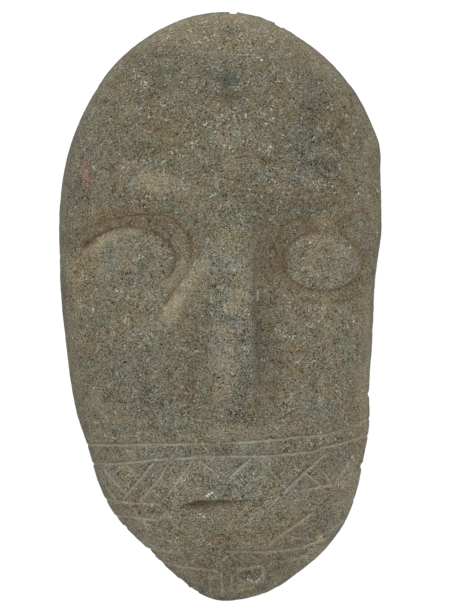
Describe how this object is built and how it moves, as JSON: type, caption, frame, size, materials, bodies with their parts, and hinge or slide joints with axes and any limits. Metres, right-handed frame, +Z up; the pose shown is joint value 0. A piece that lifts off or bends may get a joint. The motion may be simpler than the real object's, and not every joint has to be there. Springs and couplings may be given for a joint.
{
  "type": "stone effigy",
  "caption": "Egg-shaped carved boulder with a schematic face in low relief and bands of cut lines across its jaw, lying on its back.",
  "frame": {"origin": "on the ground plane, at the middle of the small flat under the stone's back", "axes": "+Z up, out of the carved face; +Y from the chin to the crown; +X to the right of someone looking at the face"},
  "size_m": [0.1979, 0.3602, 0.1284],
  "materials": {
    "weathered_stone": "rough, speckled brown-grey sandstone, worn"
  },
  "bodies": {
    "root": {"carved_stone": "weathered_stone"}
  },
  "joints": []
}
